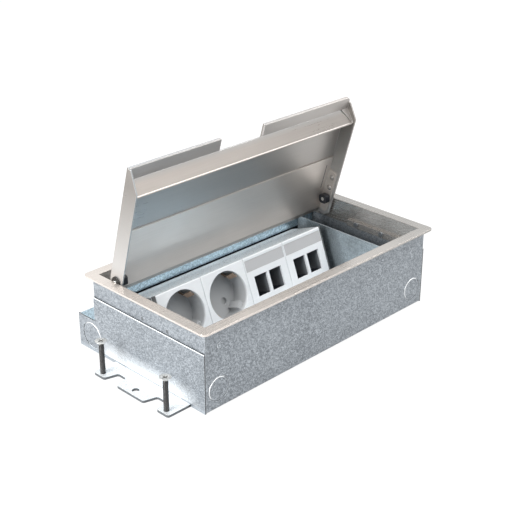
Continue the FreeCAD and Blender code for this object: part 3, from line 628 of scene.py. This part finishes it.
def zinc_carrier():
    """Module carrier coat, made pale as painted light, with painted shadow, near black, along its rear edge
    and right end.
    """
    material = zinc_coated("zinc_carrier", CARRIER_LIT_ZINC, WHITE_LIGHT, rough=0.34, metal=0.4)
    tree, shader, colour = shader_parts(material)
    place = face_parts(tree)[1]
    # Painted shadow: near black along the rear edge and the right end.
    edge = math_node(tree, "MAXIMUM", over(tree, place[1], CARRIER_SHADOW_REAR), over(tree, place[0], CARRIER_SHADOW_END))
    tree.links.new(blend_colour(tree, edge, colour, NEAR_BLACK), shader.inputs["Base Color"])
    return material


def zinc_end_sheet():
    """The end sheets: painted shade, dark, on the sheared edge faces, in the crease and on the feet's rims,
    and painted highlight along the rolled top edge, low on the upright faces and on the feet's flat tops.
    """
    material = zinc_coated("zinc_end_sheet", ZINC_DARK, ZINC_PALE, rough=0.32, metal=0.5)
    tree, shader, colour = shader_parts(material)
    look, place = face_parts(tree)
    upright = over(tree, size_of(tree, look[0]), SQUARE_ON)
    flat = over(tree, size_of(tree, look[2]), SQUARE_ON)
    along = both(tree, ramp_node(tree, place[1], *FOOT_HIGHLIGHT_FRONT),
                 ramp_node(tree, place[1], *FOOT_HIGHLIGHT_REAR))
    painted_foot_highlight = both(tree, ramp_node(tree, place[2], FOOT_HIGHLIGHT_TOP, FOOT_HIGHLIGHT_LOW, 0.0, FOOT_HIGHLIGHT_SHARE), along)
    # Painted shade on the feet's rims.
    foot_rim = both(tree, over(tree, size_of(tree, place[0]), FOOT_START),
                    under(tree, size_of(tree, look[2]), HALF_ON))
    # Painted highlights: low on the upright faces, along the rolled top edge and on the feet's flat tops.
    # Painted shade: in the crease, on the edge faces and on the feet's rims.
    for mask, tone in ((both(tree, upright, painted_foot_highlight), ZINC_HIGHLIGHT),
                       (both(tree, upright, under(tree, place[2], FOOT_CREASE)), CREASE_SHADE),
                       (both(tree, upright, over(tree, place[2], SHEET_EDGE_TOP - ROLLED_EDGE_HIGHLIGHT)), ZINC_HIGHLIGHT),
                       (both(tree, flat, under(tree, place[2], FOOT_PLANE)), ZINC_HIGHLIGHT),
                       (both(tree, flat, over(tree, place[2], FOOT_PLANE)), PAINTED_SHADE_DARK),
                       (over(tree, size_of(tree, look[1]), HALF_ON), PAINTED_SHADE_DARK),
                       (foot_rim, FOOT_RIM_SHADE)):
        colour = blend_colour(tree, mask, colour, tone)
    tree.links.new(colour, shader.inputs["Base Color"])
    return material


def lid_steel():
    """Lid steel whose side walls carry painted shading: darker tan at the top, paler near the hinge."""
    material = brushed_stainless("brushed_stainless_lid", LID_TONE, LID_SHADE, LID_EDGE_HIGHLIGHT,
                                 rough=0.34, metal=0.75, scored=0.15)
    tree, shader, colour = shader_parts(material)
    look, place = face_parts(tree)
    sideways = over(tree, size_of(tree, look[0]), SQUARE_ON)
    # Painted shading: the side walls run from darker tan at the top to paler near the hinge.
    down = ramp_node(tree, place[2], WALL_SHADE_TOP, WALL_LIT_FROM)
    wall = blend_colour(tree, down, WALL_SHADE_TAN, WALL_LIT_PALE)
    tree.links.new(blend_colour(tree, sideways, colour, wall), shader.inputs["Base Color"])
    return material


def strip_steel():
    """Tan brushed strip with painted shading, grey, along its bend next to the hem, where the rounded bend is
    not drawn.
    """
    material = brushed_stainless("brushed_stainless_strip", STRIP_TAN, STRIP_SHADE, LID_EDGE_HIGHLIGHT,
                                 rough=0.32, metal=0.8, scored=0.4)
    tree, shader, colour = shader_parts(material)
    # Painted shading: grey along the bend, fading out away from the hem.
    reach = dot_product(tree, object_place(tree), STRIP_DOWN)
    near = ramp_node(tree, reach, STRIP_START, STRIP_START + STRIP_BEND, STRIP_BEND_SHARE, 0.0)
    tree.links.new(blend_colour(tree, near, colour, BEND_SHADING), shader.inputs["Base Color"])
    return material


def stiffener_steel():
    """Pale brushed plate with a dark line painted near each end, painted shade in place of a slot."""
    material = brushed_stainless("brushed_stainless_inner", INNER_TONE, INNER_SHADE, INNER_TONE,
                                 rough=0.36, metal=0.7, scored=0.1)
    tree, shader, colour = shader_parts(material)
    place = face_parts(tree)[1]
    # Painted shade: a dark line in place of a slot near each end.
    aside = size_of(tree, math_node(tree, "SUBTRACT", size_of(tree, place[0]), SLOT_X))
    level = both(tree, over(tree, place[2], SLOT_LOW), under(tree, place[2], SLOT_HIGH))
    slot = both(tree, under(tree, aside, SLOT_HALF), level)
    tree.links.new(blend_colour(tree, slot, colour, PAINTED_SHADE_DARK), shader.inputs["Base Color"])
    return material


def moulded_plastic(name, colour, rough):
    """Plastic with a faint skin, smudges and a few paler scratches."""
    material, tree, shader = start_material(name)
    links = tree.links
    skin = place_group(tree, SKIN, Grain_per_metre=2600.0)
    marks = place_group(tree, MARKS, Marks_per_metre=40.0)
    edge = place_group(tree, EDGE, Radius=0.0003)
    low, high = PLASTIC_TONES
    base = blend_colour(tree, skin.outputs["Tone"], scaled(colour, low), scaled(colour, high))
    scratch = math_node(tree, "MULTIPLY", marks.outputs["Scratch"], SCRATCH_SHARE)
    factor, lift = PLASTIC_SCRATCH
    worn = blend_colour(tree, scratch, base, tuple(min(1.0, part * factor + lift) for part in colour))
    links.new(worn, shader.inputs["Base Color"])
    links.new(spread(tree, marks.outputs["Smudge"], rough, PLASTIC_RUB), shader.inputs["Roughness"])
    grained = bump_node(tree, skin.outputs["Height"], SKIN_DEPTH, SKIN_STRENGTH, edge.outputs["Normal"])
    links.new(grained, shader.inputs["Normal"])
    return material


def tunnel_plastic():
    """Grey side walls; every other face is painted near black, painted shade for the depth of the tunnels."""
    material = moulded_plastic("tunnel_plastic", TUNNEL_GREY, rough=0.5)
    tree, shader, colour = shader_parts(material)
    look = face_parts(tree)[0]
    # Painted shade: every face but the side walls is near black.
    sideways = over(tree, size_of(tree, look[0]), MOSTLY_ON)
    tree.links.new(blend_colour(tree, sideways, NEAR_BLACK, colour), shader.inputs["Base Color"])
    shader.inputs["Specular IOR Level"].default_value = 0.15
    return material


def socket_plastic():
    """White insert with painted shade, grey, in its recess: depth is measured behind the tilted face."""
    material = moulded_plastic("socket_white", INSERT_WHITE, rough=0.38)
    tree, shader, colour = shader_parts(material)
    # Painted shade: the recess turns grey with depth behind the face.
    depth = dot_product(tree, object_place(tree), FACE_NORMAL)
    sunk = ramp_node(tree, depth, FACE_PLANE - RECESS_LIP, FACE_PLANE - RECESS_SHADE_DEPTH)
    tree.links.new(blend_colour(tree, sunk, colour, RECESS_SHADE), shader.inputs["Base Color"])
    return material


def plated_metal(name, colour, rough):
    """Plated or bare metal with a painted highlight on its edges and a smudged shine."""
    material, tree, shader = start_material(name)
    links = tree.links
    marks = place_group(tree, MARKS, Marks_per_metre=220.0)
    edge = place_group(tree, EDGE, Radius=0.0003)
    base = blend_colour(tree, marks.outputs["Smudge"], scaled(colour, PLATED_SMUDGE_AND_HIGHLIGHT[0]), colour)
    # Painted highlight: the edges are made paler than the face.
    painted_edge = blend_colour(tree, edge.outputs["Mask"], base, scaled(colour, PLATED_SMUDGE_AND_HIGHLIGHT[1]))
    links.new(painted_edge, shader.inputs["Base Color"])
    shader.inputs["Metallic"].default_value = 1.0
    links.new(spread(tree, marks.outputs["Smudge"], rough, PLATED_RUB), shader.inputs["Roughness"])
    links.new(edge.outputs["Normal"], shader.inputs["Normal"])
    return material


def levelling_steel():
    """Dark threaded shank under a pale zinc head, with painted shade in its cross recess."""
    material, tree, shader = start_material("levelling_screw_steel")
    links = tree.links
    marks = place_group(tree, MARKS, Marks_per_metre=220.0)
    edge = place_group(tree, EDGE, Radius=0.0004)
    look, place = face_parts(tree)
    head = over(tree, place[2], SCREW_HEAD_LOW)
    sunk = both(tree, over(tree, look[2], SQUARE_ON), under(tree, place[2], SCREW_HEAD_TOP))
    plain = blend_colour(tree, marks.outputs["Smudge"], scaled(SCREW_ZINC, PLATED_SMUDGE_AND_HIGHLIGHT[0]), SCREW_ZINC)
    # Painted shade: the cross recess's floor takes the shank's dark colour.
    crossed = blend_colour(tree, sunk, plain, SCREW_SHANK)
    links.new(blend_colour(tree, head, SCREW_SHANK, crossed), shader.inputs["Base Color"])
    shader.inputs["Metallic"].default_value = 0.8
    links.new(spread(tree, marks.outputs["Smudge"], 0.3, SCREW_RUB), shader.inputs["Roughness"])
    turns = tree.nodes.new("ShaderNodeTexWave")
    turns.bands_direction = "Z"
    turns.inputs["Scale"].default_value = SCREW_BANDS
    links.new(object_place(tree), turns.inputs["Vector"])
    thread = both(tree, turns.outputs["Fac"], math_node(tree, "SUBTRACT", 1.0, head))
    ribbed = bump_node(tree, thread, SCREW_BAND_DEPTH, 1.0, edge.outputs["Normal"])
    links.new(ribbed, shader.inputs["Normal"])
    return material


STAINLESS = brushed_stainless("brushed_stainless", TRIM_TONE, TRIM_SHADE, TRIM_EDGE_SHADE,
                              rough=0.27, metal=0.75, scored=0.08)
LID_STEEL = lid_steel()
STRIP_STEEL = strip_steel()
HEM_STEEL = brushed_stainless("brushed_stainless_hem", HEM_TONE, HEM_SHADE, HEM_EDGE_HIGHLIGHT,
                              rough=0.36, metal=0.75, scored=0.15)
HOUSING_ZINC = zinc_housing()
INSERT = moulded_plastic("insert_white", INSERT_WHITE, rough=0.38)
SOCKET = socket_plastic()
SPRING = plated_metal("earth_spring", SPRING_COPPER, rough=0.25)
PLATED = plated_metal("zinc_plated_screw", SCREW_ZINC, rough=0.3)
# White beads as painted highlights on the knock-out rims
LIP = plated_metal("pressed_lip_zinc", LIP_HIGHLIGHT, rough=0.4)


def dress(material, *names):
    """Gives the material to every slot of the named nodes."""
    for name in names:
        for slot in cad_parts[name].material_slots:
            slot.material = material


dress(STAINLESS, "trim_frame", "lid_rivets")
dress(LID_STEEL, "lid_plate")
dress(stiffener_steel(), "lid_stiffener")
dress(HOUSING_ZINC, "housing_shell", "frame_rivets")
# Partitions: the same zinc coat, made paler as painted light.
dress(zinc_coated("zinc_coated_sheet", ZINC_INNER_LIT_DARK, ZINC_INNER_LIT_PALE, rough=0.34, metal=0.5),
      "partition_left", "partition_right")
dress(zinc_carrier(), "module_carrier")
dress(zinc_end_sheet(), "end_plate_left", "end_plate_right")
dress(SOCKET, "socket_cover_1", "socket_cover_2")
dress(INSERT, "data_cover_1", "data_cover_2")
dress(moulded_plastic("label_grey", LABEL_GREY, rough=0.45), "data_label_1", "data_label_2")
dress(moulded_plastic("cheek_grey", CHEEK_GREY, rough=0.45), "row_end_cap_left", "row_end_cap_right")
dress(moulded_plastic("contact_block_grey", BLOCK_GREY, rough=0.5), "socket_base_1", "socket_base_2")
dress(tunnel_plastic(), "data_box_1", "data_box_2")
dress(moulded_plastic("pivot_black", NEAR_BLACK, rough=0.4), "pivot_block_left", "pivot_block_right")
dress(SPRING, "earth_clip_1", "earth_clip_2")
dress(plated_metal("contact_brass", SLEEVE_BRASS, rough=0.25), "contact_sleeves_1", "contact_sleeves_2")
dress(plated_metal("dull_screw", DULL_ZINC, rough=0.45), "frame_screws")
dress(PLATED, "carrier_screws", "earth_stud", "earth_nut", "pivot_pin_left", "pivot_pin_right")
dress(plated_metal("dark_ring", RING_DARK, rough=0.3), "pivot_ring_left", "pivot_ring_right")
dress(levelling_steel(), "levelling_screw_left_front", "levelling_screw_left_rear",
      "levelling_screw_right_front", "levelling_screw_right_rear")


# Own pieces
def mesh_object(bm, name):
    """An object in the scene that holds the mesh so far."""
    mesh = bpy.data.meshes.new(name)
    bm.to_mesh(mesh)
    bm.free()
    made = bpy.data.objects.new(name, mesh)
    bpy.context.scene.collection.objects.link(made)
    return made


def finish_piece(bm, name, materials, body, replaced=None, smooth=False):
    """Makes the object and its body, and hides the node that it stands for."""
    piece = mesh_object(bm, name)
    for polygon in piece.data.polygons:
        polygon.use_smooth = smooth
    for material in materials:
        piece.data.materials.append(material)
    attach(piece, body)
    if replaced:
        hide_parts(replaced)


def pressed_lip(name, centre, axis, radius, start, sweep):
    """A half-sunk bead along part of a knock-out's rim, clockwise from start, in degrees from the top; it is
    coloured white as a painted highlight where the rim catches the light.
    """
    bm = bmesh.new()
    bmesh.ops.create_circle(bm, segments=LIP_SIDES, radius=LIP_R)
    out = Vector(axis)
    up = Vector((0, 0, 1))
    turn = out.cross(up).cross(up)
    first = Matrix.Rotation(math.radians(start), 3, turn)
    for vert in bm.verts:
        vert.co = Vector(centre) + first @ (up * (radius + vert.co.x) + out * vert.co.y)
    bmesh.ops.spin(bm, geom=bm.verts[:] + bm.edges[:], cent=Vector(centre), axis=turn,
                   angle=math.radians(sweep), steps=LIP_STEPS, use_merge=False, use_duplicate=False)
    bmesh.ops.holes_fill(bm, edges=bm.edges[:], sides=LIP_SIDES)
    bmesh.ops.recalc_face_normals(bm, faces=bm.faces[:])
    finish_piece(bm, name, [LIP], "housing", smooth=True)


for side, word in ((-1, "left"), (1, "right")):
    pressed_lip("front_knockout_lip_" + word, (side * FRONT_KNOCKOUT_X, HOUSING_FRONT, FRONT_KNOCKOUT_Z),
                (0, -1, 0), *FRONT_LIP)
    pressed_lip("chamber_knockout_lip_" + word, (side * HOUSING_END, CHAMBER_KNOCKOUT_Y, CHAMBER_KNOCKOUT_Z),
                (side, 0, 0), *CHAMBER_LIP)


def slab(bm, points, reach):
    """A flat outline pushed out by reach into a closed slab."""
    corners = [bm.verts.new(p) for p in points]
    face = bm.faces.new(corners)
    pushed = bmesh.ops.extrude_face_region(bm, geom=[face])["geom"]
    moved = [v for v in pushed if isinstance(v, bmesh.types.BMVert)]
    bmesh.ops.translate(bm, verts=moved, vec=reach)
    return corners + moved


def round_upright(bm, verts, spot, radius):
    """Round the edge along Z that stands at the given place."""
    chosen = []
    for edge in {e for v in verts for e in v.link_edges}:
        first, second = (v.co for v in edge.verts)
        upright = abs(first.z - second.z) >= SAME_POINT
        if upright and math.hypot(first.x - spot[0], first.y - spot[1]) < SAME_POINT:
            chosen.append(edge)
    bmesh.ops.bevel(bm, geom=chosen, offset=radius, affect="EDGES", segments=CORNER_SEGMENTS, profile=0.5,
                    material=-1)


def paint_since(bm, before, index):
    """Give the faces made since before the material with that index."""
    for face in set(bm.faces) - before:
        face.material_index = index


def lid_top(bm):
    """The flat sheet, notched for cables, with one rounded front corner."""
    notch_back = LID_FRONT + NOTCH_DEPTH
    low = LID_TOP - LID_T
    outline = [(-LID_HALF, LID_FRONT), (NOTCH_LEFT, LID_FRONT), (NOTCH_LEFT, notch_back),
               (NOTCH_RIGHT, notch_back), (NOTCH_RIGHT, LID_FRONT), (LID_HALF, LID_FRONT),
               (LID_HALF, LID_REAR), (-LID_HALF, LID_REAR)]
    verts = slab(bm, [(x, y, low) for x, y in outline], (0, 0, LID_T))
    round_upright(bm, verts, (LID_HALF, LID_FRONT), LID_CORNER_R)


def lid_hem(bm):
    """The front edge folded back under the sheet, on both sides of the notch."""
    before = set(bm.faces)
    low = LID_TOP - HEM_T
    rear = LID_FRONT + HEM_REACH
    inner = LID_HALF - LID_T
    for left, right in ((-inner, NOTCH_LEFT), (NOTCH_RIGHT, inner)):
        outline = [(left, LID_FRONT), (right, LID_FRONT), (right, rear), (left, rear)]
        verts = slab(bm, [(x, y, low) for x, y in outline], (0, 0, HEM_T - LID_T))
        if right == inner:
            round_upright(bm, verts, (right, LID_FRONT), LID_CORNER_R - LID_T)
    paint_since(bm, before, 2)


def lid_strip(bm):
    """The slanted strip behind the hem, its beaded edge and the tab that closes its mitred end."""
    root = Vector((0, LID_FRONT + HEM_REACH, LID_TOP - HEM_T))
    foot = root + Vector((0, STRIP_REACH, -STRIP_DROP))
    across = Vector((0, STRIP_DROP, STRIP_REACH)).normalized() * LID_T
    end = Vector((LID_HALF - LID_T - STRIP_END_GAP, 0, 0))
    mitre = Vector((STRIP_MITRE, 0, 0))
    wall = Vector((LID_HALF - LID_T, 0, 0))
    before = set(bm.faces)
    slab(bm, [root - end, root + end - mitre, foot + end, foot - end], across)
    bead = bmesh.ops.create_cone(bm, cap_ends=True, segments=STRIP_BEAD_SIDES, radius1=STRIP_BEAD_R,
                                 radius2=STRIP_BEAD_R, depth=2 * end.x)["verts"]
    place = Matrix.Translation(foot + across * 0.5) @ Matrix.Rotation(math.pi / 2, 4, "Y")
    bmesh.ops.transform(bm, matrix=place, verts=bead)
    paint_since(bm, before, 1)
    before = set(bm.faces)
    slab(bm, [root + end - mitre + Vector((TAB_GAP, 0, 0)), root + wall, foot + wall], across)
    paint_since(bm, before, 2)


def lid_walls(bm):
    """The two side walls, pointed at the front and cut off at a slant at the rear."""
    top = LID_TOP - LID_T
    low = LID_TOP - LID_WALL_DEPTH
    for side, corner in ((-1, LID_LEFT_CORNER_R), (1, LID_CORNER_R)):
        outline = [(LID_FRONT + corner, top), (LID_FRONT + corner, LID_TOP - LID_NOSE),
                   (LID_FRONT + LID_NOSE_REACH, low), (LID_REAR - LID_CORNER_R, low),
                   (LID_REAR, low + LID_CORNER_R), (LID_REAR, top)]
        slab(bm, [(side * LID_HALF, y, z) for y, z in outline], (-side * LID_T, 0, 0))


def folded_lid():
    """Top sheet with a folded front hem, a slanted strip with a beaded edge, and two side walls."""
    bm = bmesh.new()
    lid_top(bm)
    lid_hem(bm)
    lid_strip(bm)
    lid_walls(bm)
    bmesh.ops.recalc_face_normals(bm, faces=bm.faces[:])
    bmesh.ops.transform(bm, matrix=LID_SWING, verts=bm.verts[:])
    finish_piece(bm, "folded_lid", [LID_STEEL, STRIP_STEEL, HEM_STEEL], "lid", "lid_plate")


def turned_copy(node, name, middle, whole, material):
    """A copy of a node with its recess, or all of it, turned about the socket's axis."""
    bm = bmesh.new()
    bm.from_mesh(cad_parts[node].data)
    axis = Vector(FACE_NORMAL)
    turning = set()
    for face in bm.faces:
        offset = face.calc_center_median() - middle
        depth = -offset.dot(axis)
        radius = (offset + axis * depth).length
        inside = radius < SOCKET_R + SOCKET_SLACK and SOCKET_SKIN < depth < SOCKET_BACK
        if whole or inside:
            turning.update(face.verts)
    spin = Matrix.Translation(middle) @ Matrix.Rotation(SOCKET_TURN, 4, axis) @ Matrix.Translation(-middle)
    bmesh.ops.transform(bm, matrix=spin, verts=list(turning))
    bmesh.ops.remove_doubles(bm, verts=bm.verts[:], dist=WELD)
    finish_piece(bm, name, [material], "housing", node)


folded_lid()
for number, x in enumerate(SOCKET_X, 1):
    down = Vector((0, -FACE_NORMAL[2], FACE_NORMAL[1]))
    middle = Vector((x, *FACE_EDGE)) + down * SOCKET_CENTRE_DROP
    turned_copy("socket_cover_%d" % number, "turned_socket_%d" % number, middle, False, SOCKET)
    turned_copy("earth_clip_%d" % number, "turned_clip_%d" % number, middle, True, SPRING)


# Floor, light and camera
def show_white(tree, shader_out, plain, share, kind):
    """Camera, glossy and glass rays see this share of white, so metal shows the same background."""
    seen = tree.nodes.new("ShaderNodeLightPath")
    either = math_node(tree, "MAXIMUM", seen.outputs["Is Camera Ray"], seen.outputs["Is Glossy Ray"])
    any_seen = math_node(tree, "MAXIMUM", either, seen.outputs["Is Transmission Ray"])
    mix = tree.nodes.new("ShaderNodeMixShader")
    tree.links.new(math_node(tree, "MULTIPLY", any_seen, share), mix.inputs[0])
    tree.links.new(plain, mix.inputs[1])
    white = tree.nodes.new(kind)
    white.inputs["Color"].default_value = (*WHITE_LIGHT, 1.0)
    white.inputs["Strength"].default_value = 1.0
    tree.links.new(white.outputs[0], mix.inputs[2])
    tree.links.new(mix.outputs[0], shader_out)


def make_world():
    world = bpy.data.worlds.new("studio")
    world.use_nodes = True
    tree = world.node_tree
    plain = tree.nodes["Background"]
    plain.inputs["Color"].default_value = (*SKY_TONE, 1.0)
    plain.inputs["Strength"].default_value = SKY_POWER
    out = tree.nodes["World Output"].inputs["Surface"]
    show_white(tree, out, plain.outputs[0], 1.0, "ShaderNodeBackground")
    bpy.context.scene.world = world


def make_floor():
    bm = bmesh.new()
    bmesh.ops.create_grid(bm, x_segments=1, y_segments=1, size=FLOOR_HALF)
    floor = mesh_object(bm, "floor")
    material, tree, shader = start_material("pale_floor")
    speck = noise(tree, object_place(tree), FLOOR_SPECKS, 3.0)
    tree.links.new(blend_colour(tree, speck.outputs["Fac"], *FLOOR_TONES), shader.inputs["Base Color"])
    shader.inputs["Roughness"].default_value = 0.9
    out = tree.nodes["Material Output"].inputs["Surface"]
    show_white(tree, out, shader.outputs[0], FLOOR_WHITE, "ShaderNodeEmission")
    floor.data.materials.append(material)


def make_lamp(name, place, size, power, colour=WHITE_LIGHT):
    data = bpy.data.lights.new(name, "AREA")
    data.shape = "SQUARE"
    data.size = size
    data.energy = power
    data.color = colour
    lamp = bpy.data.objects.new(name, data)
    lamp.location = place
    lamp.rotation_euler = (Vector(LAMP_AIM) - Vector(place)).to_track_quat("-Z", "Y").to_euler()
    bpy.context.scene.collection.objects.link(lamp)


def make_camera():
    data = bpy.data.cameras.new("camera")
    data.lens = LENS_MM
    data.sensor_width = SENSOR_MM
    camera = bpy.data.objects.new("camera", data)
    side, rise = (math.radians(turn) for turn in CAMERA_TURN)
    gaze = Vector((math.sin(side) * math.cos(rise), math.cos(side) * math.cos(rise), -math.sin(rise)))
    camera.location = CAMERA_PLACE
    camera.rotation_euler = gaze.to_track_quat("-Z", "Y").to_euler()
    bpy.context.scene.collection.objects.link(camera)
    bpy.context.scene.camera = camera


make_world()
make_floor()
make_lamp("window_left", (-1.4, 0.1, 0.7), size=0.9, power=40.0)
make_lamp("window_right", (1.1, -0.1, 1.2), size=0.9, power=14.0)
make_lamp("overhead", (0.1, -0.5, 1.4), size=1.2, power=15.0, colour=OVERHEAD_TONE)
make_camera()
bpy.context.scene.view_settings.view_transform = "Standard"
